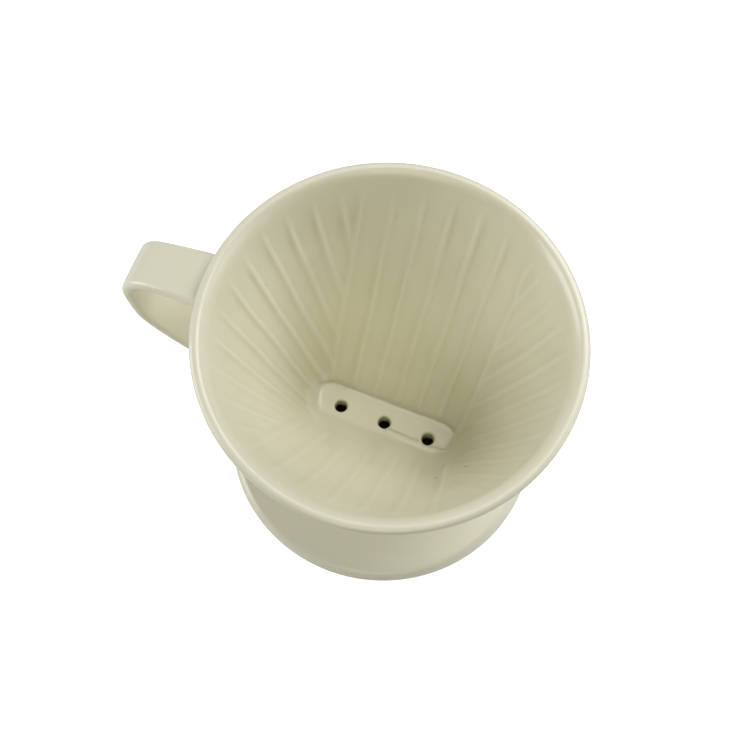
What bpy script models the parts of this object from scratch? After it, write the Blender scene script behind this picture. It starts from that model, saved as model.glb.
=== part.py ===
"""Pour over coffee dripper in glazed ceramic.

A wedge cone, round at the rim and slot-shaped at its floor, has ribs on its inside and three
drip holes in its floor. It stands in a round seating flange with a locating collar below, and
a strap handle is luted to one end of it. Sizes here are in millimetres, and the objects are in
metres with +Z up. The dripper stands on its collar at z = 0, and +X runs along the slot, away
from the handle. The origin is under the middle of the whole length, handle included.
"""

import math

import bmesh
import bpy
from mathutils import Vector

MM = 0.001

# Overall sizes.
RIM_DIAMETER = 116.0
HEIGHT = 92.6
HANDLE_PROJECTION = 27.0
GAP = 0.3

# Cone.
WALL = 4.2
NECK_WALL = 3.5
BEAD_WIDTH = 3.7
BEAD_RISE = 1.4
SLOT_LENGTH = 50.0
SLOT_WIDTH = 13.0
FLOOR_THICKNESS = 5.0
FLOOR_FILLET = 2.7
HOLE_DIAMETER = 4.4
HOLE_PITCH = 15.5

# Ribs on the inside of the cone.
RIB_WIDTH = 2.3
RIB_HEIGHT = 0.7
RIB_ROOT = 0.9
RIB_DROP = 4.6
RIB_PITCH = 9.25
RIB_STEP_DEGREES = 9.78
RIB_CENTRE = (1.6, 0.9)
FLAT_RIB_FOCUS = 180.0
END_RIB_FOCUS = 8.0
SIDE_RIBS = 3
END_RIBS = 5

# Seating flange and the collar under it.
COLLAR_DIAMETER = 67.0
COLLAR_WALL = 4.5
COLLAR_DEPTH = 5.0
COLLAR_EDGE = 0.9
COLLAR_REBATE = 1.2
FLANGE_DIAMETER = 101.6
FLANGE_THICKNESS = 6.0
FLANGE_CROWN = 2.2
FLOOR_ABOVE_FLANGE = 9.2

# Handle.
HANDLE_WIDTH = 16.6
HANDLE_THICKNESS = 3.6
ROOT_WIDENING = 1.6
ROOT_THICKENING = 2.2

# Heights and radii that follow from the sizes above.
FLANGE_TOP = COLLAR_DEPTH + FLANGE_THICKNESS
FLOOR_Z = FLANGE_TOP + FLOOR_ABOVE_FLANGE
RIM_Z = HEIGHT - BEAD_RISE
CONE_DEPTH = RIM_Z - FLOOR_Z
RIM_RADIUS = RIM_DIAMETER / 2
MOUTH_RADIUS = RIM_RADIUS - BEAD_WIDTH + 0.2
END_RADIUS = SLOT_WIDTH / 2
HALF_STRAIGHT = (SLOT_LENGTH - SLOT_WIDTH) / 2
NECK_RADIUS = END_RADIUS + NECK_WALL
AXIS_X = HANDLE_PROJECTION / 2

RING_POINTS = 96
HOLE_POINTS = 32


def glaze(name, colour, roughness):
    """A smooth opaque ceramic material."""
    material = bpy.data.materials.new(name)
    material.use_nodes = True
    shader = material.node_tree.nodes["Principled BSDF"]
    shader.inputs["Base Color"].default_value = (*colour, 1.0)
    shader.inputs["Roughness"].default_value = roughness
    shader.inputs["Metallic"].default_value = 0.0
    material.diffuse_color = (*colour, 1.0)
    return material


def inside_row(z):
    """The inner wall at height z: half its straight length and the radius of its round ends."""
    t = (z - FLOOR_Z) / CONE_DEPTH
    return HALF_STRAIGHT * (1 - t), END_RADIUS + (MOUTH_RADIUS - END_RADIUS) * t


def outside_row(z, grow=0.0):
    """The outer wall at height z, moved out by grow."""
    straight, radius = inside_row(z)
    return straight, radius + WALL + grow


def ring(straight, radius, z):
    """Points of a slot shape: two half rounds with a straight length between them."""
    points = []
    for i in range(RING_POINTS):
        angle = 2 * math.pi * i / RING_POINTS
        c, s = math.cos(angle), math.sin(angle)
        side = 0.0 if abs(c) < 1e-6 else math.copysign(1.0, c)
        points.append((AXIS_X + straight * side + radius * c, radius * s, z))
    return points


def add_object(name, bm, material):
    """A mesh object in metres, from a bmesh in millimetres."""
    bmesh.ops.recalc_face_normals(bm, faces=bm.faces)
    bmesh.ops.scale(bm, vec=(MM, MM, MM), verts=bm.verts)
    mesh = bpy.data.meshes.new(name)
    bm.to_mesh(mesh)
    bm.free()
    mesh.materials.append(material)
    obj = bpy.data.objects.new(name, mesh)
    bpy.context.scene.collection.objects.link(obj)
    return obj


def loft(rows, closed):
    """A body through rows of rings: joined end to end if closed, else capped at both ends."""
    bm = bmesh.new()
    rings = [[bm.verts.new(p) for p in ring(*row)] for row in rows]
    pairs = list(zip(rings, rings[1:]))
    if closed:
        pairs.append((rings[-1], rings[0]))
    for low, high in pairs:
        for i in range(RING_POINTS):
            j = (i + 1) % RING_POINTS
            bm.faces.new((low[i], low[j], high[j], high[i]))
    if not closed:
        bm.faces.new(rings[0])
        bm.faces.new(rings[-1])
    return bm


def sweep(sections):
    """A capped body through a list of closed sections, each with the same number of points."""
    bm = bmesh.new()
    rings = [[bm.verts.new(p) for p in section] for section in sections]
    count = len(rings[0])
    for low, high in zip(rings, rings[1:]):
        for i in range(count):
            j = (i + 1) % count
            bm.faces.new((low[i], low[j], high[j], high[i]))
    bm.faces.new(rings[0])
    bm.faces.new(rings[-1])
    return bm


def combine(obj, other, operation):
    """Joins or cuts obj with other, then removes other."""
    modifier = obj.modifiers.new("combine", "BOOLEAN")
    modifier.operation = operation
    modifier.solver = "EXACT"
    modifier.object = other
    graph = bpy.context.evaluated_depsgraph_get()
    mesh = bpy.data.meshes.new_from_object(obj.evaluated_get(graph))
    obj.modifiers.clear()
    old = obj.data
    obj.data = mesh
    mesh.name = obj.name
    bpy.data.meshes.remove(old)
    bpy.data.objects.remove(other)


def finish(obj, degrees):
    """Smooth shading, with edges sharper than the angle kept crisp."""
    for polygon in obj.data.polygons:
        polygon.use_smooth = True
    obj.data.set_sharp_from_angle(angle=math.radians(degrees))


def rim_bead():
    """Rows of the rounded rim, from under its outer edge over its top to the inner wall."""
    half = BEAD_WIDTH / 2
    rows = []
    for degrees in (-62, -35, 0, 35, 65, 90, 115, 145):
        angle = math.radians(degrees)
        radius = RIM_RADIUS - half + half * math.cos(angle)
        rows.append((0.0, radius, RIM_Z + BEAD_RISE * math.sin(angle)))
    return rows


def cone_shell(material):
    """The neck, the wall with its rim and the slot floor, with its holes still closed."""
    recess_top = FLOOR_Z - FLOOR_THICKNESS
    rows = [
        (HALF_STRAIGHT, END_RADIUS, recess_top),
        (HALF_STRAIGHT, END_RADIUS, COLLAR_DEPTH),
        (HALF_STRAIGHT, NECK_RADIUS, COLLAR_DEPTH),
        (HALF_STRAIGHT, NECK_RADIUS, FLOOR_Z - 3.2),
        (HALF_STRAIGHT, NECK_RADIUS + 0.2, FLOOR_Z - 1.2),
    ]
    for z in (FLOOR_Z + 0.8, RIM_Z - 3.2):
        rows.append((*outside_row(z), z))
    rows += rim_bead()
    for z in (RIM_Z - 1.4, FLOOR_Z + FLOOR_FILLET):
        rows.append((*inside_row(z), z))
    start = inside_row(FLOOR_Z + FLOOR_FILLET)[1]
    for share, rise in ((0.25, 0.45), (0.58, 0.14), (1.0, 0.0)):
        radius = start - 1.35 * FLOOR_FILLET * share
        rows.append((HALF_STRAIGHT, radius, FLOOR_Z + rise * FLOOR_FILLET))
    return add_object("filter_cone", loft(rows, closed=False), material)


def drip_hole(x):
    """A cylinder through the floor at x along the slot."""
    sections = []
    for z in (FLOOR_Z - FLOOR_THICKNESS - 1.0, FLOOR_Z + 1.0):
        section = []
        for i in range(HOLE_POINTS):
            angle = 2 * math.pi * i / HOLE_POINTS
            across = HOLE_DIAMETER / 2 * math.sin(angle)
            section.append((AXIS_X + x + HOLE_DIAMETER / 2 * math.cos(angle), across, z))
        sections.append(section)
    return sweep(sections)


def wall_distance(x, y, z):
    """How far (x, y) lies outside the inner wall at height z. It is negative in the hollow."""
    straight, radius = inside_row(z)
    return math.hypot(max(abs(x) - straight, 0.0), y) - radius


def wall_height(x, y):
    """The height at which the inner wall passes over (x, y)."""
    low, high = FLOOR_Z, RIM_Z
    for _ in range(40):
        middle = (low + high) / 2
        if wall_distance(x, y, middle) > 0:
            low = middle
        else:
            high = middle
    return (low + high) / 2


def wall_normal(x, y, z):
    """The direction from the inner wall into the hollow."""
    step = 0.01
    here = wall_distance(x, y, z)
    slope = Vector((
        wall_distance(x + step, y, z) - here,
        wall_distance(x, y + step, z) - here,
        wall_distance(x, y, z + step) - here,
    ))
    return -slope.normalized()


def rim_point(direction, start):
    """Where a plan line from start along direction meets the inner wall at the ribs' tops."""
    z = RIM_Z - RIB_DROP
    low, high = 0.0, 2 * RIM_RADIUS
    for _ in range(40):
        middle = (low + high) / 2
        point = start + direction * middle
        if wall_distance(point.x, point.y, z) < 0:
            low = middle
        else:
            high = middle
    return start + direction * low


def flat_rib_line(place, side):
    """Plan line of a rib on a flat face: its top and the direction it runs down in."""
    start = Vector((RIB_CENTRE[0] + place * RIB_PITCH, 0.0))
    top = rim_point(Vector((0.0, side)), start)
    focus = Vector((RIB_CENTRE[0], -side * FLAT_RIB_FOCUS))
    return top, (focus - top).normalized()


def end_rib_line(place, end):
    """Plan line of a rib on a round end: its top and the direction it runs down in."""
    centre = Vector(RIB_CENTRE)
    angle = math.radians(place * RIB_STEP_DEGREES)
    top = rim_point(Vector((end * math.cos(angle), math.sin(angle))), centre)
    focus = Vector((centre.x - end * END_RIB_FOCUS, centre.y))
    return top, (focus - top).normalized()


def run_to_floor(top, direction):
    """How far a rib runs in plan before it comes down to the floor's fillet."""
    foot = FLOOR_Z + 1.6 * FLOOR_FILLET
    length = 0.0
    while length < RIM_RADIUS:
        point = top + direction * (length + 0.25)
        if wall_height(point.x, point.y) < foot:
            break
        length += 0.25
    return length


def run_to_line(top, direction, other_top, other_direction):
    """How far a rib runs in plan before it crosses another rib's line."""
    cross = direction.x * other_direction.y - direction.y * other_direction.x
    if abs(cross) < 1e-9:
        return RIM_RADIUS
    gap = other_top - top
    along = (gap.x * other_direction.y - gap.y * other_direction.x) / cross
    return along if along > 0 else RIM_RADIUS


def rib(top, direction, length):
    """A low rounded bar laid on the inner wall along a plan line, fading out at its top."""
    half = RIB_WIDTH / 2
    shape = [
        (-half, -RIB_ROOT), (half, -RIB_ROOT), (0.85 * half, 0.2 * RIB_HEIGHT),
        (0.4 * half, RIB_HEIGHT), (-0.4 * half, RIB_HEIGHT), (-0.85 * half, 0.2 * RIB_HEIGHT),
    ]
    places = [0.0, 1.6] + [1.6 + (length - 1.6) * i / 5 for i in range(1, 6)]
    points = []
    for place in places:
        p = top + direction * place
        points.append(Vector((p.x, p.y, wall_height(p.x, p.y))))
    sections = []
    for i, point in enumerate(points):
        ahead = points[min(i + 1, len(points) - 1)] - points[max(i - 1, 0)]
        normal = wall_normal(*point)
        across = ahead.cross(normal).normalized()
        sink = RIB_HEIGHT * 1.15 if i == 0 else 0.0
        section = []
        for u, v in shape:
            height = max(v - sink, -RIB_ROOT) if v > 0 else v
            corner = point + across * u + normal * height
            section.append((corner.x + AXIS_X, corner.y, corner.z))
        sections.append(section)
    return sweep(sections)


def rib_set():
    """Every rib as (top, direction, length) in plan."""
    ribs = []
    edges = {}
    for side in (1, -1):
        for place in range(-SIDE_RIBS, SIDE_RIBS + 1):
            top, direction = flat_rib_line(place, side)
            if abs(place) == SIDE_RIBS:
                edges[(math.copysign(1, place), side)] = (top, direction)
            ribs.append((top, direction, run_to_floor(top, direction)))
    for end in (1, -1):
        for place in range(-END_RIBS, END_RIBS + 1):
            top, direction = end_rib_line(place, end)
            length = run_to_floor(top, direction)
            if place:
                edge = edges[(end, 1 if place > 0 else -1)]
                length = min(length, run_to_line(top, direction, *edge))
            ribs.append((top, direction, length))
    return ribs


def build_cone():
    """The filter cone: shell, ribs and drip holes."""
    cone = cone_shell(glaze("cone_glaze", (0.74, 0.71, 0.57), 0.22))
    spare = cone.data.materials[0]
    for top, direction, length in rib_set():
        combine(cone, add_object("rib", rib(top, direction, length), spare), "UNION")
    for x in (-HOLE_PITCH, 0.0, HOLE_PITCH):
        combine(cone, add_object("hole", drip_hole(x), spare), "DIFFERENCE")
    finish(cone, 50)


def build_flange():
    """A round disc with a softened edge, a slightly raised top and an opening for the neck.

    The collar stands in a shallow rebate in its underside, so the seat is a plain ring.
    """
    edge = FLANGE_THICKNESS / 2
    radius = FLANGE_DIAMETER / 2
    middle = COLLAR_DEPTH + edge
    opening = NECK_RADIUS + GAP
    rebate = COLLAR_DIAMETER / 2 + GAP
    rows = [
        (HALF_STRAIGHT, opening, COLLAR_DEPTH + COLLAR_REBATE),
        (0.0, rebate, COLLAR_DEPTH + COLLAR_REBATE),
        (0.0, rebate, COLLAR_DEPTH),
    ]
    for degrees in range(-90, 91, 30):
        angle = math.radians(degrees)
        rows.append((0.0, radius - edge + edge * math.cos(angle), middle + edge * math.sin(angle)))
    rows.append((HALF_STRAIGHT, opening + 1.2, FLANGE_TOP + FLANGE_CROWN * 0.75))
    rows.append((HALF_STRAIGHT, opening, FLANGE_TOP + FLANGE_CROWN))
    material = glaze("flange_glaze", (0.72, 0.70, 0.56), 0.24)
    finish(add_object("base_flange", loft(rows, closed=True), material), 40)


def build_collar():
    """The ring below the flange that sits inside the mouth of a mug or server."""
    outer = COLLAR_DIAMETER / 2
    inner = outer - COLLAR_WALL
    top = COLLAR_DEPTH + COLLAR_REBATE - GAP
    edge = COLLAR_EDGE
    rows = [
        (0.0, outer, top),
        (0.0, outer, edge),
        (0.0, outer - 0.3 * edge, 0.3 * edge),
        (0.0, outer - edge, 0.0),
        (0.0, inner + edge, 0.0),
        (0.0, inner + 0.3 * edge, 0.3 * edge),
        (0.0, inner, edge),
        (0.0, inner, top),
    ]
    material = glaze("collar_clay", (0.70, 0.66, 0.54), 0.55)
    finish(add_object("locating_collar", loft(rows, closed=True), material), 40)


def handle_path():
    """Guide points of the strap's middle line, from its upper root to its lower one."""
    reach = RIM_RADIUS + HANDLE_PROJECTION - HANDLE_THICKNESS / 2
    upper = RIM_Z - 8.0
    lower = FLOOR_Z + 0.20 * CONE_DEPTH
    drop = upper - lower
    root = sum(outside_row(upper))
    foot = sum(outside_row(lower))
    return [
        (-(root - 3.5), upper + 0.2),
        (-(root + 4.0), upper),
        (-(root + 0.56 * (reach - root)), upper - 0.035 * drop),
        (-(reach - 3.6), upper - 0.105 * drop),
        (-(reach - 0.15), upper - 0.235 * drop),
        (-(reach - 1.0), upper - 0.40 * drop),
        (-(reach - 4.3), upper - 0.59 * drop),
        (-(foot + 0.70 * (reach - foot)), upper - 0.765 * drop),
        (-(foot + 0.44 * (reach - foot)), upper - 0.90 * drop),
        (-(foot + 0.18 * (reach - foot)), upper - 0.97 * drop),
        (-(foot - 4.0), lower),
    ]


def smooth_path(guides, pieces):
    """A Catmull-Rom curve through the guide points."""
    padded = [guides[0], *guides, guides[-1]]
    path = []
    for i in range(len(guides) - 1):
        a, b, c, d = (Vector(padded[i + k]) for k in range(4))
        for k in range(pieces):
            t = k / pieces
            path.append(0.5 * (
                2 * b + (c - a) * t + (2 * a - 5 * b + 4 * c - d) * t ** 2
                + (3 * b - a - 3 * c + d) * t ** 3
            ))
    path.append(Vector(guides[-1]))
    return path


def strap_section(width, thickness):
    """A rounded oblong: (across, out) pairs round the strap."""
    corner = 0.42 * thickness
    points = []
    for sx, sy, start in ((1, 1, 0), (-1, 1, 90), (-1, -1, 180), (1, -1, 270)):
        for degrees in (0, 30, 60, 90):
            angle = math.radians(start + degrees)
            x = sx * (width / 2 - corner) + corner * math.cos(angle)
            y = sy * (thickness / 2 - corner) + corner * math.sin(angle)
            points.append((x, y))
    return points


def build_handle():
    """The strap handle, trimmed at both roots to stand off the cone's wall by the gap."""
    path = smooth_path(handle_path(), 3)
    last = len(path) - 1
    sections = []
    for i, point in enumerate(path):
        along = (path[min(i + 1, last)] - path[max(i - 1, 0)]).normalized()
        out = Vector((along.y, -along.x))
        if i == 0:
            out = Vector((0.0, 1.0))
        near_root = max(0.0, 1 - min(i, last - i) / 5)
        section = []
        for across, rise in strap_section(HANDLE_WIDTH + ROOT_WIDENING * near_root,
                                          HANDLE_THICKNESS + ROOT_THICKENING * near_root):
            p = point - out * rise if out.y < 0 and i < last / 3 else point + out * rise
            section.append((AXIS_X + p.x, across, p.y))
        sections.append(section)
    handle = add_object("handle", sweep(sections), glaze("handle_glaze", (0.75, 0.73, 0.60), 0.22))
    rows = []
    for z in (FLOOR_Z + 0.8, RIM_Z + 2.0):
        rows.append((*outside_row(z, GAP), z))
    body = add_object("body", loft(rows, closed=False), handle.data.materials[0])
    combine(handle, body, "DIFFERENCE")
    finish(handle, 40)


def main():
    for obj in list(bpy.data.objects):
        bpy.data.objects.remove(obj)
    build_cone()
    build_flange()
    build_collar()
    build_handle()


main()
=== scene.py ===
"""Glazed ceramic pour over dripper: the finished pieces, their glazes and a studio stage.

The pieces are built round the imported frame, in metres with +Z up. Each piece has an operator
of its own, and the panel in the 3D view's sidebar lists them in building order.
"""

import math

import bmesh
import bpy
import numpy as np
from bpy.props import FloatProperty, FloatVectorProperty, IntProperty, PointerProperty
from bpy.types import Operator, Panel, PropertyGroup
from mathutils import Matrix, Vector
from mathutils.geometry import delaunay_2d_cdt


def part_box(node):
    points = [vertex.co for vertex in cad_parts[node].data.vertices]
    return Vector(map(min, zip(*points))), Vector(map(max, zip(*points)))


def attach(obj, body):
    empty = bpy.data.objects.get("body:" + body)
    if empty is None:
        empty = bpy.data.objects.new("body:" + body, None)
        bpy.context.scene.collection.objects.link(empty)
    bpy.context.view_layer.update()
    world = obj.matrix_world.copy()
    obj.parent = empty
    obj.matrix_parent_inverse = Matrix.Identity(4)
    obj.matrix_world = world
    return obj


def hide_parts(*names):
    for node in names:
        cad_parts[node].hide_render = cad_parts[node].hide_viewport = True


bl_info = {
    "name": "Pour over dripper",
    "version": (1, 0, 0),
    "blender": (4, 5, 0),
    "location": "3D View > Sidebar > Dripper",
    "description": "Builds a glazed ceramic coffee dripper and its studio stage",
    "category": "Add Mesh",
}

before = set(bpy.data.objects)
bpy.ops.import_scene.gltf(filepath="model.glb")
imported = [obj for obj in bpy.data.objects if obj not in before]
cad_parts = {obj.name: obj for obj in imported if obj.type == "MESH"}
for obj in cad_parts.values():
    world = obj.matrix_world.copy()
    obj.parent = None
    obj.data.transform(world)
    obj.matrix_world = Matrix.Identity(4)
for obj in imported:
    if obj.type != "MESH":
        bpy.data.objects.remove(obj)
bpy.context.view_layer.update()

MM = 0.001
BODY = "root"
QUARTER = np.pi / 2

CONE_LOW, CONE_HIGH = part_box("filter_cone")
FLANGE_LOW, FLANGE_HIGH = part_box("base_flange")
COLLAR_LOW, COLLAR_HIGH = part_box("locating_collar")
HANDLE_LOW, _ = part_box("handle")

AXIS_X = (CONE_LOW.x + CONE_HIGH.x) / 2
RIM_RADIUS = (CONE_HIGH.y - CONE_LOW.y) / 2
TOP_Z = CONE_HIGH.z
SEAT_Z = FLANGE_LOW.z
FLANGE_RADIUS = (FLANGE_HIGH.y - FLANGE_LOW.y) / 2
CROWN_Z = FLANGE_HIGH.z
COLLAR_RADIUS = (COLLAR_HIGH.y - COLLAR_LOW.y) / 2
HANDLE_REACH = AXIS_X - HANDLE_LOW.x

MOUTH_EASE = 0.2 * MM
# The share of each quarter's columns that go round the slot's end.
END_COLUMNS = 0.655
FLANGE_COLUMNS = 360
COLLAR_COLUMNS = 288


def length(name, text, default):
    """A size in metres that the user can change, with its default in millimetres."""
    return FloatProperty(
        name=name, description=text, default=default * MM, min=0.0, max=0.2,
        unit="LENGTH", precision=5,
    )


def colour(name, text, default):
    """A linear colour that the user can change."""
    return FloatVectorProperty(
        name=name, description=text, default=default, min=0.0, max=1.0,
        size=3, subtype="COLOR",
    )


def share(name, text, default, most=1.0):
    """A plain number that the user can change."""
    return FloatProperty(name=name, description=text, default=default, min=0.0, max=most)


class DripperSizes(PropertyGroup):
    """Sizes of the dripper's walls, floor, ribs and handle."""

    wall: length("Wall", "Thickness of the cone's wall, measured level", 4.2)
    neck_wall: length("Neck wall", "Thickness of the neck under the floor", 3.5)
    bead_width: length("Rim width", "Width of the rolled rim", 3.7)
    bead_rise: length("Rim rise", "Height of the rolled rim over its widest line", 1.4)
    lip_depth: length("Lip depth", "Depth of the rounded inner lip", 3.4)
    lip_swell: length("Lip swell", "Extra thickness of the wall at the lip", 0.9)
    slot_length: length("Slot length", "Length of the slot at the cone's floor", 50.0)
    slot_width: length("Slot width", "Width of the slot at the cone's floor", 13.0)
    floor_height: length("Floor height", "Height of the floor's upper face", 20.2)
    floor_thickness: length("Floor thickness", "Thickness of the slot floor", 5.0)
    hole_diameter: length("Hole diameter", "Diameter of a drip hole", 4.4)
    hole_pitch: length("Hole pitch", "Distance between drip holes", 15.5)
    rib_width: length("Rib width", "Width of a rib at its foot", 2.9)
    rib_height: length("Rib height", "Height of a rib over the wall", 0.54)
    rib_drop: length("Rib drop", "How far below the rim the ribs start", 4.6)
    rib_pitch: length("Rib pitch", "Distance between ribs on the flat faces", 9.25)
    rib_step: FloatProperty(
        name="Rib step", description="Angle between ribs on the round ends",
        default=math.radians(9.78), subtype="ANGLE",
    )
    flange_thickness: length("Flange thickness", "Thickness of the seating flange", 6.0)
    collar_wall: length("Collar wall", "Thickness of the locating collar", 4.5)
    rebate: length("Rebate", "Depth of the flange's hollow inside the collar", 1.2)
    handle_width: length("Handle width", "Width of the strap", 16.6)
    handle_thickness: length("Handle thickness", "Thickness of the strap", 3.6)
    handle_fillet: length("Handle fillet", "Radius of the luted joint at the roots", 2.4)
    columns: IntProperty(
        name="Columns", description="Points round the cone's mesh",
        default=520, min=96, max=1200,
    )


class GlazeLook(PropertyGroup):
    """Colours and gloss of the glaze, with its darker tone for painted shade and mottle and its
    lighter tone for painted highlight, and of the bare clay.
    """

    body: colour("Glaze", "Glaze of even thickness", (0.810, 0.785, 0.650))
    # The pooled colour is the painted shade's colour, also used for random mottle; the thinned
    # colour is the painted highlight's colour, also used for the thin glaze edge above the
    # collar's foot.
    shade_and_mottle: colour("Shaded and mottled glaze", "Darker glaze where shade is painted, and for random mottle", (0.720, 0.690, 0.500))
    highlight_and_thin_glaze_tone: colour("Highlight glaze tone", "Lighter glaze where a highlight is painted, and the thin glaze edge above the collar's foot", (0.870, 0.850, 0.750))
    clay: colour("Bare clay", "Fired clay without glaze", (0.660, 0.590, 0.470))
    gloss: share("Roughness", "Roughness of the glaze", 0.34)
    coat: share("Glassy coat", "Strength of the glassy top layer", 0.4)


class StageLook(PropertyGroup):
    """Floor, lights and camera."""

    floor: colour("Floor", "Colour of the studio floor", (0.90, 0.90, 0.90))
    white: share("White", "Brightness of floor and surround as the camera sees them", 1.05, 5.0)
    glow: share("Floor glow", "Light that the floor throws onto the dripper", 0.0, 5.0)
    sky: share("Surround glow", "Light that the surround throws onto the dripper", 0.01, 5.0)
    key: share("Key light", "Power of the soft light behind on the right, in watts", 3.80, 200.0)
    high: share("High light", "Power of the high soft light behind, in watts", 2.00, 200.0)
    front: share("Front light", "Power of the soft light in front, in watts", 1.75, 200.0)
    right: share("Right light", "Power of the low soft light at the right, in watts", 1.85, 200.0)
    left: share("Left light", "Power of the low soft light at the left, in watts", 4.30, 200.0)
    lens: share("Lens", "Focal length of the camera, in millimetres", 72.0, 300.0)


# ---- shapes of the cone


def rim_height(sizes):
    """Height of the rim's widest line."""
    return TOP_Z - sizes.bead_rise


def slot_shape(sizes):
    """Half the straight length and the end radius of the slot at the cone's floor."""
    return (sizes.slot_length - sizes.slot_width) / 2, sizes.slot_width / 2


def inside_row(sizes, z):
    """Half the straight length and the end radius of the cone's inner wall at height z."""
    t = (z - sizes.floor_height) / (rim_height(sizes) - sizes.floor_height)
    straight, end = slot_shape(sizes)
    mouth = RIM_RADIUS - sizes.bead_width + MOUTH_EASE
    return straight * (1 - t), end + (mouth - end) * t


def wall_distance(sizes, x, y, z):
    """Level distance of (x, y) outside the inner wall at height z, negative in the hollow."""
    straight, radius = inside_row(sizes, z)
    return np.hypot(np.maximum(np.abs(x) - straight, 0.0), y) - radius


def bisect(low, high, is_low):
    """Where is_low turns from true to false between low and high."""
    for _ in range(40):
        middle = (low + high) / 2
        below = is_low(middle)
        low, high = np.where(below, middle, low), np.where(below, high, middle)
    return (low + high) / 2


def wall_height(sizes, x, y):
    """Height at which the inner wall passes over each (x, y)."""
    return bisect(sizes.floor_height, rim_height(sizes),
                  lambda z: wall_distance(sizes, x, y, z) > 0)


def slot_ring(sizes, columns, straight, radius, height_share):
    """Points round a slot shape, with columns that fan out from floor to rim."""
    angle = 2 * np.pi * np.arange(columns) / columns
    c, s = np.cos(angle), np.sin(angle)
    at_rim = np.arctan2(np.abs(s), np.abs(c)) / QUARTER
    flat, end = slot_shape(sizes)
    corner = QUARTER * end / (QUARTER * end + flat)
    at_floor = np.interp(at_rim, (0.0, END_COLUMNS, 1.0), (0.0, corner, 1.0))
    t = min(max(height_share, 0.0), 1.0)
    along = (at_floor * (1 - t) + at_rim * t) * (straight + QUARTER * radius)
    turn = np.minimum(along / radius, QUARTER)
    rest = np.maximum(along - QUARTER * radius, 0.0)
    x = (straight + radius * np.cos(turn) - rest) * np.sign(np.round(c, 9))
    y = radius * np.sin(turn) * np.sign(np.round(s, 9))
    return x, y


def grid_of_rows(sizes, rows, columns):
    """Points as an array [row, column, xyz] round the dripper's axis."""
    grid = np.zeros((len(rows), columns, 3))
    for i, (straight, radius, z, t) in enumerate(rows):
        grid[i, :, 0], grid[i, :, 1] = slot_ring(sizes, columns, straight, radius, t)
        grid[i, :, 2] = z
    return grid


def grid_normals(grid):
    """Unit normals of a grid that wraps round its columns."""
    across = np.roll(grid, -1, axis=1) - np.roll(grid, 1, axis=1)
    along = np.gradient(grid, axis=0)
    normal = np.cross(across, along)
    size = np.linalg.norm(normal, axis=2, keepdims=True)
    return normal / np.maximum(size, 1e-12)


def smooth_step(low, high, value):
    """0 below low, 1 above high, and a soft rise between."""
    t = np.clip((value - low) / (high - low), 0.0, 1.0)
    return t * t * (3 - 2 * t)


def bell(value, centre, width):
    """1 at the centre, falling softly to 0 within about two widths of it."""
    return np.exp(-(((value - centre) / width) ** 2))


def arc(first, last, step):
    """Cosine and sine of each angle of a range in degrees."""
    angles = [math.radians(degrees) for degrees in range(first, last, step)]
    return [(math.cos(angle), math.sin(angle)) for angle in angles]


def curve_shares(t):
    """Shares of the three guide points of a quadratic curve at t."""
    return (1 - t) ** 2, 2 * t * (1 - t), t * t


# ---- ribs


RIB_CENTRE = Vector((1.6 * MM, 0.9 * MM))
FLAT_RIB_FOCUS = 180.0 * MM
END_RIB_FOCUS = 8.0 * MM
SIDE_RIBS = 3
END_RIBS = 5
RIB_FOOT = 2.6 * MM
FAINT_RIB = 0.42
FAINT_SHORTER = 6.0 * MM
RIB_WAVER = 0.12 * MM
RIB_TAPER = (4.4 * MM, 1.6 * MM)


def rim_point(sizes, direction, start):
    """Where a plan line from start along direction meets the wall at the ribs' tops."""
    z = rim_height(sizes) - sizes.rib_drop
    reach = bisect(0.0, 2 * RIM_RADIUS, lambda run: wall_distance(
        sizes, start.x + direction.x * run, start.y + direction.y * run, z) < 0)
    return start + direction * float(reach)


def run_to_floor(sizes, top, direction):
    """How far a rib runs in plan before it comes down to the floor's fillet."""
    reach = np.arange(0.0, RIM_RADIUS, 0.25 * MM)
    x, y = top.x + direction.x * reach, top.y + direction.y * reach
    below = np.flatnonzero(wall_height(sizes, x, y) <= sizes.floor_height + RIB_FOOT)
    return float(reach[below[0]]) if len(below) else RIM_RADIUS


def run_to_line(top, direction, other_top, other_direction):
    """How far a rib runs in plan before it crosses another rib's line."""
    cross = direction.x * other_direction.y - direction.y * other_direction.x
    if abs(cross) < 1e-9:
        return RIM_RADIUS
    gap = other_top - top
    along = (gap.x * other_direction.y - gap.y * other_direction.x) / cross
    return along if along > 0 else RIM_RADIUS


def rib_lines(sizes):
    """Every rib as (top, direction, length) in plan."""
    ribs = []
    edges = {}
    for side in (1, -1):
        for place in range(-SIDE_RIBS, SIDE_RIBS + 1):
            start = Vector((RIB_CENTRE.x + place * sizes.rib_pitch, 0.0))
            top = rim_point(sizes, Vector((0.0, side)), start)
            direction = (Vector((RIB_CENTRE.x, -side * FLAT_RIB_FOCUS)) - top).normalized()
            if abs(place) == SIDE_RIBS:
                edges[(int(math.copysign(1, place)), side)] = (top, direction)
            ribs.append((top, direction, run_to_floor(sizes, top, direction)))
    for end in (1, -1):
        for place in range(-END_RIBS, END_RIBS + 1):
            angle = place * sizes.rib_step
            out = Vector((end * math.cos(angle), math.sin(angle)))
            top = rim_point(sizes, out, RIB_CENTRE)
            focus = Vector((RIB_CENTRE.x - end * END_RIB_FOCUS, RIB_CENTRE.y))
            direction = (focus - top).normalized()
            run = run_to_floor(sizes, top, direction)
            if place:
                edge = edges[(end, 1 if place > 0 else -1)]
                run = min(run, run_to_line(top, direction, *edge))
            ribs.append((top, direction, run))
    return ribs


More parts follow.
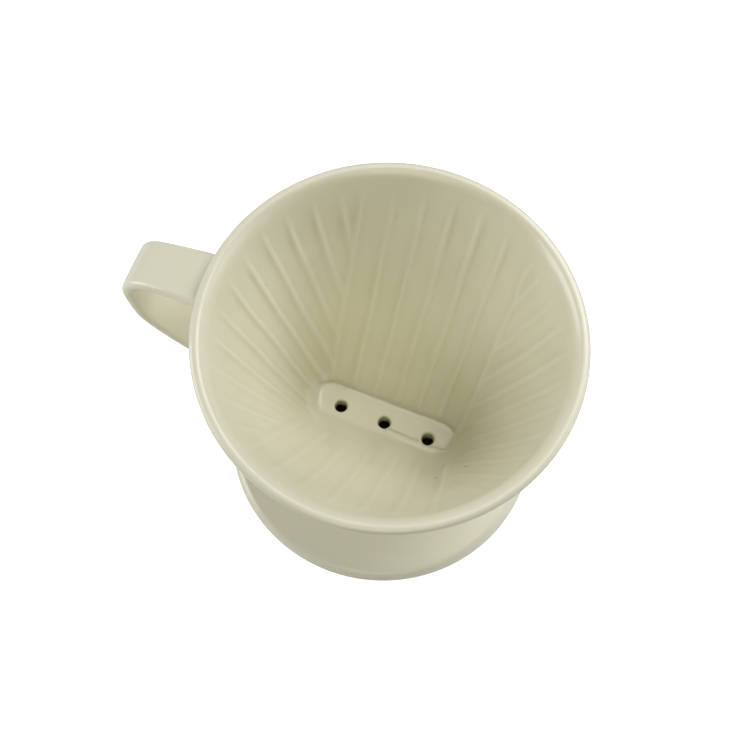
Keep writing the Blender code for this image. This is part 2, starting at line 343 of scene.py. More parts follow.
def rib_relief(sizes, x, y, z):
    """Height of the ribs over the wall, their crests, where a highlight is painted, and their
    feet, where shade is painted.

    The ribs are crisp at the far side and fade, shorter and lower, towards the near right.
    """
    relief = np.zeros(x.shape)
    feet = np.zeros(x.shape)
    half = sizes.rib_width / 2
    for k, (top, direction, run) in enumerate(rib_lines(sizes)):
        crisp = float(smooth_step(-0.7, 0.3, (top.y - 0.35 * top.x) / RIM_RADIUS))
        run = run - FAINT_SHORTER * (1 - crisp)
        dx, dy = x - top.x, y - top.y
        along = dx * direction.x + dy * direction.y
        across = dx * -direction.y + dy * direction.x
        across = across + RIB_WAVER * np.sin(z * 190.0 + k * 1.7)
        end = RIB_TAPER[1] + FAINT_SHORTER / 2 * (1 - crisp)
        fade = smooth_step(-0.4 * MM, RIB_TAPER[0], along)
        fade = fade * (1 - smooth_step(run - 0.4 * MM, run + end, along))
        swell = 1.0 + 0.10 * np.sin(z * 260.0 + k * 2.3)
        swell = swell * (FAINT_RIB + (1 - FAINT_RIB) * crisp)
        ridge = 0.5 + 0.5 * np.cos(np.pi * np.clip(across / half, -1.0, 1.0))
        profile = 0.94 * ridge ** 0.85 + 0.10 * bell(across, 0.0, 1.5 * half)
        relief = np.maximum(relief, sizes.rib_height * fade * swell * profile)
        # Mask of each rib's feet, where shade is painted.
        feet = np.maximum(feet, fade * bell(np.abs(across), 1.15 * half, 0.55 * half))
    crest = np.clip(relief / sizes.rib_height, 0.0, 1.0)
    return relief, crest, feet * (1 - crest)


# ---- the slot floor


# Plan lines in millimetres from the middle of the floor. FAR_EDGE and END_SWEEP place painted
# highlights only; NEAR_SEAM places the seam's groove and a painted highlight along its lip.
FAR_EDGE = [(-15.0, 6.4), (-6.0, 6.5), (7.0, 6.5), (14.0, 6.5), (19.0, 6.2), (22.0, 5.4),
            (24.5, 4.2)]
NEAR_SEAM = [(2.4, -1.7), (5.0, -2.0), (8.0, -2.1), (11.0, -2.25), (13.6, -2.15),
             (15.6, -2.6), (18.4, -2.4), (21.0, -2.0), (23.2, -1.4)]
END_SWEEP = [(-23.4, 6.4), (-25.4, 3.4), (-26.2, -0.6), (-25.6, -3.6), (-23.6, -6.8),
             (-20.0, -9.3)]
SEAM_DEPTH = 0.30 * MM
SEAM_WIDTH = 0.36 * MM
HOLE_SHIFT = 0.4 * MM
HOLE_GLAZE = 0.15 * MM
HOLE_LIP = 0.65 * MM
HOLE_FOOT = 0.5 * MM
HOLE_POINTS = 56


def across_path(x, y, path):
    """Signed plan distance of each point to a line of points, positive on its far side."""
    best = np.full(np.shape(x), 1.0)
    signed = np.full(np.shape(x), 1.0)
    path = np.array(path) * MM
    for (ax, ay), (bx, by) in zip(path, path[1:]):
        dx, dy = bx - ax, by - ay
        t = np.clip(((x - ax) * dx + (y - ay) * dy) / (dx * dx + dy * dy), 0.0, 1.0)
        away = np.hypot(x - ax - t * dx, y - ay - t * dy)
        side = np.sign(dx * (y - ay) - dy * (x - ax))
        signed = np.where(away < best, away * side, signed)
        best = np.minimum(best, away)
    return signed


def floor_relief(x, y):
    """Height of the mould's seam beside the drip holes: a groove with a low lip before it."""
    away = across_path(x, y, NEAR_SEAM)
    lip = 0.55 * bell(away, -1.7 * SEAM_WIDTH, SEAM_WIDTH)
    return SEAM_DEPTH * (lip - bell(away, 0.0, SEAM_WIDTH))


def painted_floor_highlights(x, y):
    """Painted highlights on the floor: over its far edge, along the seam's lip and round one end.
    """
    far = bell(across_path(x, y, FAR_EDGE), 0.0, 0.50 * MM)
    near = bell(across_path(x, y, NEAR_SEAM), -0.60 * MM, 0.35 * MM)
    end = bell(across_path(x, y, END_SWEEP), 0.0, 1.2 * MM)
    return np.maximum(far, 0.8 * np.maximum(near, end))


def hole_rings(sizes, centre_x, recess_z):
    """Rings down a drip hole: a softened lip at the top and at the bottom."""
    radius = sizes.hole_diameter / 2 - HOLE_GLAZE
    top = sizes.floor_height
    profile = [(HOLE_LIP * (1 - s), top - HOLE_LIP * (1 - c)) for c, s in arc(0, 91, 18)]
    profile += [(0.0, top - HOLE_LIP + (recess_z - top + 1.2 * MM) * t) for t in (0.3, 0.5, 0.7)]
    profile += [(HOLE_FOOT * (1 - c), recess_z + HOLE_FOOT * (1 - s)) for c, s in arc(0, 91, 30)]
    angle = 2 * np.pi * np.arange(HOLE_POINTS) / HOLE_POINTS
    return [
        np.stack([centre_x + (radius + grow) * np.cos(angle), (radius + grow) * np.sin(angle),
                  np.full(HOLE_POINTS, z)], axis=1)
        for grow, z in profile
    ]


def disc_of(ring):
    """Centre and radius in plan of a round ring of points."""
    centre = ring[:, :2].mean(axis=0)
    return centre, np.hypot(*(ring[:, :2] - centre).T).max()


def fill_between(outline, holes, inner, first_inner):
    """Triangles over a flat outline with holes.

    outline and each hole are (indices, plan points), and inner is loose plan points that take
    indices from first_inner on. The triangles come back as those indices.
    """
    scale = 1000.0
    coords, ids, edges = [], [], []
    for indices, points in [outline, *holes]:
        start, count = len(coords), len(points)
        coords += [Vector(p) * scale for p in points.tolist()]
        ids += indices
        edges += [(start + i, start + (i + 1) % count) for i in range(count)]
    coords += [Vector(p) * scale for p in inner]
    ids += range(first_inner, first_inner + len(inner))
    verts, _, faces, sources, _, _ = delaunay_2d_cdt(coords, edges, [], 1, 1e-6)
    discs = [disc_of(points) for _, points in holes]
    triangles = []
    for face in faces:
        middle = sum((verts[i] for i in face), Vector((0.0, 0.0))) / (len(face) * scale)
        if all(math.dist(middle, centre) >= 0.98 * radius for centre, radius in discs):
            triangles.append([ids[sources[i][0]] for i in face])
    return triangles


# ---- making mesh pieces


def add_object(name, data):
    """A new object in the scene."""
    obj = bpy.data.objects.new(name, data)
    bpy.context.scene.collection.objects.link(obj)
    return obj


def new_piece(name, points, faces, fields, glaze, weld=False):
    """A smooth mesh object from points round the axis, with its glaze fields as attributes."""
    mesh = bpy.data.meshes.new(name)
    points = np.reshape(points, (-1, 3)) + np.array([AXIS_X, 0.0, 0.0])
    mesh.from_pydata(points.tolist(), [], faces)
    for label, values in fields.items():
        attribute = mesh.attributes.new(label, "FLOAT", "POINT")
        attribute.data.foreach_set("value", np.ravel(values).astype(np.float32))
    bm = bmesh.new()
    bm.from_mesh(mesh)
    if weld:
        bmesh.ops.remove_doubles(bm, verts=bm.verts, dist=0.002 * MM)
    bmesh.ops.recalc_face_normals(bm, faces=bm.faces)
    for face in bm.faces:
        face.smooth = True
    bm.to_mesh(mesh)
    bm.free()
    mesh.materials.append(glaze)
    return add_object(name, mesh)


def wrap_faces(rows, columns, offset=0, closed=False):
    """Quads between rows of points that wrap round, as index lists."""
    faces = []
    for i in range(rows if closed else rows - 1):
        low = offset + i * columns
        high = offset + (i + 1) % rows * columns
        for j in range(columns):
            k = (j + 1) % columns
            faces.append((low + j, low + k, high + k, high + j))
    return faces


def place(obj, node, slot):
    """Hands a finished piece to the frame in place of its plain solid."""
    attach(obj, BODY)
    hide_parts(node)
    return obj


# ---- materials


# The darker second colour is reached by painted shade and by random mottle, the lighter third
# colour by painted highlight.
GLAZE_INPUTS = {
    "Glaze": (0.76, 0.73, 0.60, 1.0), "Shade and mottle colour": (0.64, 0.61, 0.44, 1.0),
    "Highlight and thin glaze colour": (0.80, 0.77, 0.65, 1.0), "Painted shade": 0.0, "Highlight and thin glaze": 0.0, "Mottle": 0.5,
    "Roughness": 0.34,
}
GLAZE_OUTPUTS = {"Colour": (0.8, 0.8, 0.8, 1.0), "Roughness": 0.0, "Height": 0.0}


def group_socket(tree, name, direction, default):
    """A named colour or share that goes into or comes out of a node group."""
    kind = "NodeSocketColor" if isinstance(default, tuple) else "NodeSocketFloat"
    socket = tree.interface.new_socket(name=name, in_out=direction, socket_type=kind)
    socket.default_value = default
    if direction == "INPUT" and kind == "NodeSocketFloat":
        socket.min_value, socket.max_value = 0.0, 1.0


def add_node(tree, kind, x, y, **settings):
    """A node at a place in the tree, with its settings."""
    node = tree.nodes.new(kind)
    node.location = (x, y)
    for name, value in settings.items():
        setattr(node, name, value)
    return node


def noise(tree, x, y, coordinates, scale, detail=3.0, rough=0.5):
    """A noise texture on the given coordinates."""
    node = add_node(tree, "ShaderNodeTexNoise", x, y)
    node.inputs["Scale"].default_value = scale
    node.inputs["Detail"].default_value = detail
    node.inputs["Roughness"].default_value = rough
    tree.links.new(coordinates, node.inputs["Vector"])
    return node.outputs["Fac"]


def remap(tree, x, y, value, low, high, to_low=0.0, to_high=1.0, soft=False):
    """Maps a value from one range to another."""
    node = add_node(tree, "ShaderNodeMapRange", x, y)
    node.interpolation_type = "SMOOTHSTEP" if soft else "LINEAR"
    node.inputs["From Min"].default_value = low
    node.inputs["From Max"].default_value = high
    node.inputs["To Min"].default_value = to_low
    node.inputs["To Max"].default_value = to_high
    tree.links.new(value, node.inputs["Value"])
    return node.outputs["Result"]


def math_node(tree, x, y, operation, first, second, clamp=False):
    """A math node on two values, either of which may be a plain number."""
    node = add_node(tree, "ShaderNodeMath", x, y, operation=operation, use_clamp=clamp)
    for socket, value in zip(node.inputs, (first, second)):
        if isinstance(value, (int, float)):
            socket.default_value = value
        else:
            tree.links.new(value, socket)
    return node.outputs["Value"]


def mix_colour(tree, x, y, factor, first, second):
    """A blend of two colours by a mask."""
    node = add_node(tree, "ShaderNodeMix", x, y, data_type="RGBA")
    tree.links.new(factor, node.inputs["Factor"])
    for socket, value in ((node.inputs[6], first), (node.inputs[7], second)):
        if isinstance(value, tuple):
            socket.default_value = value
        else:
            tree.links.new(value, socket)
    return node.outputs[2]


def glaze_with_painted_light_group():
    """Shader group: a glaze darkened by painted shade and lightened by painted highlight from the
    mesh's fields, with random mottle and ripples.
    """
    name = "glaze with painted light"
    if name in bpy.data.node_groups:
        return bpy.data.node_groups[name]
    tree = bpy.data.node_groups.new(name, "ShaderNodeTree")
    for label, default in GLAZE_INPUTS.items():
        group_socket(tree, label, "INPUT", default)
    for label, default in GLAZE_OUTPUTS.items():
        group_socket(tree, label, "OUTPUT", default)
    given = add_node(tree, "NodeGroupInput", -1300, 0)
    result = add_node(tree, "NodeGroupOutput", 900, 0)
    coordinates = add_node(tree, "ShaderNodeTexCoord", -1300, -400).outputs["Object"]

    cloud = noise(tree, -1050, 300, coordinates, 55.0, 4.0, 0.55)
    drift = remap(tree, -820, 300, cloud, 0.30, 0.72, -0.5, 0.5)

    waver = remap(tree, -820, -140, cloud, 0.3, 0.7, 0.75, 1.25)
    # Painted shade from the mesh, varied a little, with random mottle added next.
    darkening = math_node(tree, -600, -60, "MULTIPLY", given.outputs["Painted shade"], waver, clamp=True)
    mottle = math_node(tree, -600, 160, "MULTIPLY", given.outputs["Mottle"], drift)
    darkening = math_node(tree, -420, 60, "ADD", darkening, mottle, clamp=True)
    # Painted highlight from the mesh, varied a little; on the collar this is the glaze's thin
    # edge.
    lightening = math_node(tree, -600, -260, "MULTIPLY", given.outputs["Highlight and thin glaze"], waver, clamp=True)

    tone = mix_colour(tree, -200, 200, darkening, given.outputs["Glaze"], given.outputs["Shade and mottle colour"])
    tone = mix_colour(tree, 0, 120, lightening, tone, given.outputs["Highlight and thin glaze colour"])
    tree.links.new(tone, result.inputs["Colour"])

    uneven = remap(tree, -200, -220, cloud, 0.3, 0.7, -0.05, 0.05)
    rough = math_node(tree, 0, -260, "ADD", given.outputs["Roughness"], uneven)
    smoother = math_node(tree, 0, -420, "MULTIPLY", darkening, 0.08)
    rough = math_node(tree, 220, -300, "SUBTRACT", rough, smoother, clamp=True)
    tree.links.new(rough, result.inputs["Roughness"])

    peel = noise(tree, -1050, -560, coordinates, 260.0, 2.0, 0.45)
    ripple = noise(tree, -1050, -760, coordinates, 70.0, 2.0, 0.5)
    height = math_node(tree, -600, -600, "MULTIPLY", peel, 0.35)
    height = math_node(tree, -380, -660, "ADD", height, ripple)
    tree.links.new(height, result.inputs["Height"])
    return tree


def start_material(name):
    """An empty material and its shader and output nodes."""
    material = bpy.data.materials.new(name)
    material.use_nodes = True
    tree = material.node_tree
    tree.nodes.clear()
    shader = add_node(tree, "ShaderNodeBsdfPrincipled", 300, 0)
    output = add_node(tree, "ShaderNodeOutputMaterial", 620, 0)
    tree.links.new(shader.outputs["BSDF"], output.inputs["Surface"])
    return material, tree, shader


def field(tree, name, x, y):
    """A value stored on the mesh, as a socket."""
    return add_node(tree, "ShaderNodeAttribute", x, y, attribute_name=name).outputs["Fac"]


def ivory_glaze(name, look, mottle=0.25, tint=(1.0, 1.0, 1.0), clay=False):
    """Glossy ivory glaze over stoneware, darkened by painted shade and lightened by painted
    highlight from the mesh's fields, with an optional bare clay foot.
    """
    material, tree, shader = start_material(name)
    flow = add_node(tree, "ShaderNodeGroup", -60, 100)
    flow.node_tree = glaze_with_painted_light_group()
    for socket, value in (
        ("Glaze", look.body), ("Shade and mottle colour", look.shade_and_mottle), ("Highlight and thin glaze colour", look.highlight_and_thin_glaze_tone)
    ):
        flow.inputs[socket].default_value = (*[a * b for a, b in zip(value, tint)], 1.0)
    flow.inputs["Mottle"].default_value = mottle
    flow.inputs["Roughness"].default_value = look.gloss
    # Painted shade and painted highlight, stored on each mesh.
    tree.links.new(field(tree, "painted_shade", -320, 180), flow.inputs["Painted shade"])
    tree.links.new(field(tree, "highlight_and_thin_glaze", -320, 0), flow.inputs["Highlight and thin glaze"])
    bump = add_node(tree, "ShaderNodeBump", 120, -260)
    bump.inputs["Strength"].default_value = 0.6
    bump.inputs["Distance"].default_value = 0.09 * MM
    tree.links.new(flow.outputs["Height"], bump.inputs["Height"])
    tree.links.new(bump.outputs["Normal"], shader.inputs["Normal"])
    tone, rough = flow.outputs["Colour"], flow.outputs["Roughness"]
    if clay:
        bare = field(tree, "bare_clay", -320, -420)
        coordinates = add_node(tree, "ShaderNodeTexCoord", -760, -560).outputs["Object"]
        grit = noise(tree, -560, -560, coordinates, 900.0, 3.0, 0.7)
        dark = tuple(c * 0.82 for c in look.clay)
        body = mix_colour(tree, -320, -600, grit, (*look.clay, 1.0), (*dark, 1.0))
        tone = mix_colour(tree, 120, 240, bare, tone, body)
        rough_mix = add_node(tree, "ShaderNodeMix", 120, 60, data_type="FLOAT")
        tree.links.new(bare, rough_mix.inputs["Factor"])
        tree.links.new(rough, rough_mix.inputs[2])
        rough_mix.inputs[3].default_value = 0.85
        rough = rough_mix.outputs[0]
    tree.links.new(tone, shader.inputs["Base Color"])
    tree.links.new(rough, shader.inputs["Roughness"])
    shader.inputs["Coat Weight"].default_value = look.coat
    shader.inputs["Coat Roughness"].default_value = 0.18
    shader.inputs["IOR"].default_value = 1.5
    return material


def floor_paper(stage):
    """Pale studio floor, white to the camera alone, and dark under the drip holes."""
    material, tree, shader = start_material("studio floor")
    eye = add_node(tree, "ShaderNodeLightPath", -480, -420).outputs["Is Camera Ray"]
    strength = remap(tree, -200, -420, eye, 0.0, 1.0, stage.glow, stage.white)
    tree.links.new(strength, shader.inputs["Emission Strength"])
    coordinates = add_node(tree, "ShaderNodeTexCoord", -900, 0).outputs["Object"]
    apart = add_node(tree, "ShaderNodeVectorMath", -700, 0, operation="LENGTH")
    tree.links.new(coordinates, apart.inputs[0])
    away = remap(tree, -480, 0, apart.outputs["Value"], 0.034, 0.052, 0.0, 1.0, soft=True)
    glow = mix_colour(tree, -200, -120, away, (0.0, 0.0, 0.0, 1.0), (1.0, 1.0, 1.0, 1.0))
    tree.links.new(glow, shader.inputs["Emission Color"])
    grain = noise(tree, -480, 260, coordinates, 30.0, 3.0, 0.5)
    pale = tuple(stage.floor)
    tone = mix_colour(tree, -200, 200, grain, (*pale, 1.0), (*[0.985 * c for c in pale], 1.0))
    tree.links.new(tone, shader.inputs["Base Color"])
    shader.inputs["Roughness"].default_value = 0.9
    shader.inputs["Specular IOR Level"].default_value = 0.1
    return material


# ---- building the pieces


# Heights over the floor between which the neck leans out into the wall.
NECK_TOP = -5.5 * MM
WALL_FOOT = 3.0 * MM
RECESS_ROWS = 10
# Each fillet's rise up the wall, its corner's distance outside the slot, and its run inwards.
FAR_FILLET = (2.0 * MM, 1.1 * MM, 0.4 * MM)
NEAR_FILLET = (7.0 * MM, 0.0, 3.2 * MM)
# Painted shade: the whole lining a little darker, the slot floor and the drip holes darker still.
LINING_SHADE = 0.24
FLOOR_SHADE = 0.36


def cone_rows(sizes):
    """Rows from the recess under the floor, down the neck, up outside and over the bead."""
    rim_z, floor_z = rim_height(sizes), sizes.floor_height
    straight, end = slot_shape(sizes)
    neck = end + sizes.neck_wall
    recess_z = floor_z - sizes.floor_thickness
    ease, foot = 0.25 * MM, 0.5 * MM
    rows = [(straight, end - 0.9 * MM, recess_z, 0.0),
            (straight, end - ease, recess_z - ease, 0.0)]
    for z in np.linspace(recess_z - 0.9 * MM, SEAT_Z + foot, RECESS_ROWS - 4):
        rows.append((straight, end, z, 0.0))
    rows.append((straight, end + 0.15 * MM, SEAT_Z + 0.15 * MM, 0.0))
    rows.append((straight, end + foot, SEAT_Z, 0.0))
    rows.append((straight, neck - 0.1 * MM, SEAT_Z, 0.0))
    for z in np.linspace(SEAT_Z + 0.1 * MM, floor_z + NECK_TOP, 6):
        rows.append((straight, neck, z, 0.0))
    for t in np.linspace(0.0, 1.0, 11)[1:-1]:
        z = floor_z + NECK_TOP + (WALL_FOOT - NECK_TOP) * t
        blend = smooth_step(0.0, 1.0, t)
        lean_straight, lean_radius = inside_row(sizes, z)
        radius = neck + (lean_radius + sizes.wall - neck) * blend
        rows.append((straight + (lean_straight - straight) * blend, radius, z, 0.0))
    for z in np.linspace(floor_z + WALL_FOOT, rim_z - 3.4 * MM, 24):
        lean_straight, lean_radius = inside_row(sizes, z)
        share_up = (z - floor_z) / (rim_z - floor_z)
        rows.append((lean_straight, lean_radius + sizes.wall, z, share_up))
    rows.append((0.35 * MM, RIM_RADIUS - 0.95 * MM, rim_z - 2.2 * MM, 1.0))
    rows.append((0.12 * MM, RIM_RADIUS - 0.86 * MM, rim_z - 1.62 * MM, 1.0))
    half = sizes.bead_width / 2
    for c, s in arc(-58, 81, 12):
        rows.append((0.0, RIM_RADIUS - half + half * c, rim_z + sizes.bead_rise * s, 1.0))
    return rows


def lining_row(sizes, z):
    """Half the straight length and the radius of the lining, which swells towards the lip."""
    straight, radius = inside_row(sizes, z)
    return max(straight, 0.0), radius - sizes.lip_swell * smooth_step(TOP_Z - 20 * MM, TOP_Z, z)


def lip_row(sizes, t):
    """A row of the rolled lip: t is 0 at the rim's crest and 1 where the lining starts."""
    low = TOP_Z - sizes.lip_depth
    straight, foot = lining_row(sizes, low)
    corner = lining_row(sizes, TOP_Z)[1]
    crest = RIM_RADIUS - sizes.bead_width / 2
    a, b, c = curve_shares(t)
    return straight * c, crest * a + corner * b + foot * c, TOP_Z * (a + b) + low * c, 1.0


def inner_rows(sizes, fillet):
    """Rows down the lip and the lining, then round a fillet to the floor."""
    rise, outset, run = fillet
    floor_z = sizes.floor_height
    depth = rim_height(sizes) - floor_z
    corner = slot_shape(sizes)[1] + outset
    rows = [lip_row(sizes, t) for t in np.linspace(0.08, 1.0, 12)[:-1]]
    for z in np.linspace(TOP_Z - sizes.lip_depth, floor_z + rise, 84):
        rows.append((*lining_row(sizes, z), z, (z - floor_z) / depth))
    straight, radius = inside_row(sizes, floor_z + rise)
    floor_straight = inside_row(sizes, floor_z)[0]
    for t in np.linspace(0.0, 1.0, 19)[1:]:
        a, b, c = curve_shares(t)
        rows.append((straight * a + floor_straight * (b + c),
                     radius * a + corner * b + (corner - run) * c,
                     floor_z + rise * a, rise * a / depth))
    return rows


def lining_grid(sizes, columns):
    """The lining's points, with a tight fillet at the far side and a wide one at the near side."""
    tight = grid_of_rows(sizes, inner_rows(sizes, FAR_FILLET), columns)
    wide = grid_of_rows(sizes, inner_rows(sizes, NEAR_FILLET), columns)
    side = np.sin(2 * np.pi * np.arange(columns) / columns)
    far = smooth_step(-0.1, 0.75, side)[None, :, None]
    return tight * far + wide * (1 - far)


def floor_points(sizes, outline, holes):
    """Loose points over the slot floor, clear of its outline and of the holes."""
    step, margin = 0.4 * MM, 0.35 * MM
    half = sizes.slot_length / 2
    xs = np.arange(-half, half, step)
    ys = np.arange(-sizes.slot_width, sizes.slot_width, step)
    x, y = (a.ravel() for a in np.meshgrid(xs, ys))
    keep = np.abs(x) < np.abs(outline[:, 0]).max() - margin
    for side in (1, -1):
        edge = outline[outline[:, 1] * side > -1e-9]
        edge = edge[np.argsort(edge[:, 0])]
        keep &= y * side < np.interp(x, edge[:, 0], edge[:, 1] * side) - margin
    for centre, radius in map(disc_of, holes):
        keep &= np.hypot(x - centre[0], y - centre[1]) > radius + 0.3 * MM
    return np.stack([x[keep], y[keep]], axis=1)


def build_cone_mesh(sizes, look):
    """The filter cone with its neck, rolled rim, ribs, slot floor and drip holes."""
    columns = sizes.columns
    floor_z = sizes.floor_height
    lining = lining_grid(sizes, columns)
    normal = grid_normals(lining)
    if normal[len(lining) // 2, 0, 2] < 0:
        normal = -normal
    x, y, z = np.moveaxis(lining, 2, 0)
    relief, crest, feet = rib_relief(sizes, x, y, z)
    on_wall = smooth_step(floor_z + 0.5 * MM, floor_z + 3.0 * MM, z)
    below_rim = 1 - smooth_step(TOP_Z - 7 * MM, TOP_Z - 3.6 * MM, z)
    uneven = 0.10 * MM * np.sin(x * 95.0 + z * 60.0) * np.sin(y * 110.0 - z * 45.0 + 1.0)
    lining = lining + normal * ((relief + uneven * below_rim) * on_wall)[:, :, None]
    near_floor = 1 - smooth_step(floor_z + 1.8 * MM, floor_z + 3.4 * MM, z)
    below_ribs = 1 - smooth_step(floor_z + 4.0 * MM, floor_z + 7.0 * MM, z)
    lining[:, :, 2] += floor_relief(x, y) * near_floor

    shell = grid_of_rows(sizes, cone_rows(sizes), columns)
    outside = (shell[:, :, 2] > floor_z + 2 * MM) & (shell[:, :, 2] < TOP_Z - 7 * MM)
    sway = 0.12 * MM * np.sin(shell[:, :, 0] * 80.0 + 0.7) * np.sin(shell[:, :, 2] * 75.0)
    shell = shell + grid_normals(shell) * (sway * outside)[:, :, None]

    grid = np.concatenate([shell, lining])
    rows, s = len(grid), len(shell)
    faces = wrap_faces(rows, columns)
    darkening = np.zeros((rows, columns))
    lightening = np.zeros((rows, columns))
    # Painted shade over the lining, stronger along the ribs' feet and on the slot floor.
    darkening[s:] = LINING_SHADE + 0.30 * feet * on_wall + (FLOOR_SHADE - LINING_SHADE) * (1 - on_wall)
    # Painted highlight on the rib crests and along the floor's lines.
    lightening[s:] = np.maximum(0.30 * crest * on_wall, painted_floor_highlights(x, y) * below_ribs)
    # Painted highlight along the rim's crest.
    lightening = np.maximum(lightening, 0.12 * bell(grid[:, :, 2], TOP_Z, 0.9 * MM))
    height = shell[:, :, 2]
    # Painted shade on the outside under the rolled rim and where the cone meets the flange.
    under_bead = 0.8 * bell(height, TOP_Z - 3.6 * MM, 0.7 * MM)
    at_flange = 0.6 * bell(height, CROWN_Z + 1.0 * MM, 1.8 * MM)
    darkening[:s] = np.maximum(under_bead, at_flange)
    # Painted shade in the recess under the floor.
    darkening[:RECESS_ROWS] = np.maximum(darkening[:RECESS_ROWS], 0.4)

    recess_z = floor_z - sizes.floor_thickness
    extra, mouths, tops, ends = [], [], [], []
    base = rows * columns
    for k in (-1, 0, 1):
        rings = hole_rings(sizes, k * sizes.hole_pitch + HOLE_SHIFT, recess_z)
        rings[0][:, 2] += floor_relief(rings[0][:, 0], rings[0][:, 1])
        faces += wrap_faces(len(rings), HOLE_POINTS, offset=base)
        extra += rings
        mouths.append(rings[0])
        tops.append((range(base, base + HOLE_POINTS), rings[0][:, :2]))
        base += len(rings) * HOLE_POINTS
        ends.append((range(base - HOLE_POINTS, base), rings[-1][:, :2]))
    outline = (range((rows - 1) * columns, rows * columns), grid[-1, :, :2])
    inner = floor_points(sizes, grid[-1], mouths)
    faces += fill_between(outline, tops, inner, base)
    faces += fill_between((range(columns), grid[0, :, :2]), ends, [], base + len(inner))
    extra.append(np.column_stack([inner, floor_z + floor_relief(*inner.T)]))
    extra = np.concatenate(extra)
    # Painted highlight on the floor's lines, and painted shade deepening down the drip holes.
    floor_highlight = painted_floor_highlights(extra[:, 0], extra[:, 1]) * (extra[:, 2] > floor_z - 0.5 * MM)
    down = np.clip((floor_z - extra[:, 2]) / (2 * MM), 0.0, 1.0)
    fields = {
        "painted_shade": np.concatenate([darkening.ravel(), FLOOR_SHADE + 0.5 * down]),
        "highlight_and_thin_glaze": np.concatenate([lightening.ravel(), floor_highlight]),
    }
    points = np.concatenate([grid.reshape(-1, 3), extra])
    return new_piece("cone", points, faces, fields, ivory_glaze("ivory glaze, cone", look))


def build_flange_mesh(sizes, look):
    """The seating flange, run up to the neck in one soft sweep."""
    straight, end = slot_shape(sizes)
    neck = end + sizes.neck_wall
    hidden = neck - 0.8 * MM
    edge = sizes.flange_thickness / 2
    brim_z = SEAT_Z + sizes.flange_thickness
    ceiling = SEAT_Z + sizes.rebate
    ring = COLLAR_RADIUS - 0.5 * sizes.collar_wall
    fillet = 4.2 * MM
    rows = [(straight, hidden, ceiling + 0.5 * MM, 0.0),
            (straight, neck - 0.02 * MM, ceiling, 0.0)]
    for t in (0.25, 0.5, 0.75, 1.0):
        rows.append((straight * (1 - t), neck + (ring - neck) * t, ceiling, t))
    rows.append((0.0, ring + 0.2 * MM, SEAT_Z, 1.0))
    for t in np.linspace(0.1, 1.0, 6)[:-1]:
        rows.append((0.0, ring + (FLANGE_RADIUS - edge - ring) * t, SEAT_Z, 1.0))
    for c, s in arc(-90, 91, 12):
        rows.append((0.0, FLANGE_RADIUS - edge + edge * c, SEAT_Z + edge + edge * s, 1.0))
    for t in np.linspace(0.0, 1.0, 14)[1:]:
        radius = neck + fillet + (FLANGE_RADIUS - edge - neck - fillet) * (1 - t)
        rise = (CROWN_Z - 0.4 * MM - brim_z) * t ** 1.6
        rows.append((straight * t, radius, brim_z + rise, 1 - t))
    low = rows[-1][2]
    for c, s in arc(12, 85, 12):
        rows.append((straight, neck + fillet * (1 - s), low + fillet * (1 - c), 0.0))
    rows.append((straight, neck - 0.05 * MM, low + fillet, 0.0))
    rows.append((straight, hidden, low + fillet - 0.4 * MM, 0.0))
    grid = grid_of_rows(sizes, rows, FLANGE_COLUMNS)
    x, y, z = np.moveaxis(grid, 2, 0)
    away = np.hypot(x, y)
    top = (z > brim_z - 0.5 * MM) & (away < FLANGE_RADIUS - 2 * MM)
    z += 0.08 * MM * np.sin(x * 120.0 + 0.4) * np.sin(y * 95.0) * top
    # Painted shade in the crease at the neck and on the underside by the collar; painted highlight
    # round the flange's rounded edge.
    at_neck = 0.65 * bell(z, low + 1.6 * MM, 1.8 * MM) * (z > brim_z)
    at_collar = 0.5 * bell(away, COLLAR_RADIUS, 2.5 * MM) * (z < SEAT_Z + 0.1 * MM)
    fields = {
        "painted_shade": np.maximum(at_neck, at_collar),
        "highlight_and_thin_glaze": 0.75 * bell(away, FLANGE_RADIUS - 0.6 * MM, 1.1 * MM),
    }
    faces = wrap_faces(len(rows), FLANGE_COLUMNS, closed=True)
    glaze = ivory_glaze("ivory glaze, flange", look, mottle=0.3)
    return new_piece("flange", grid, faces, fields, glaze)


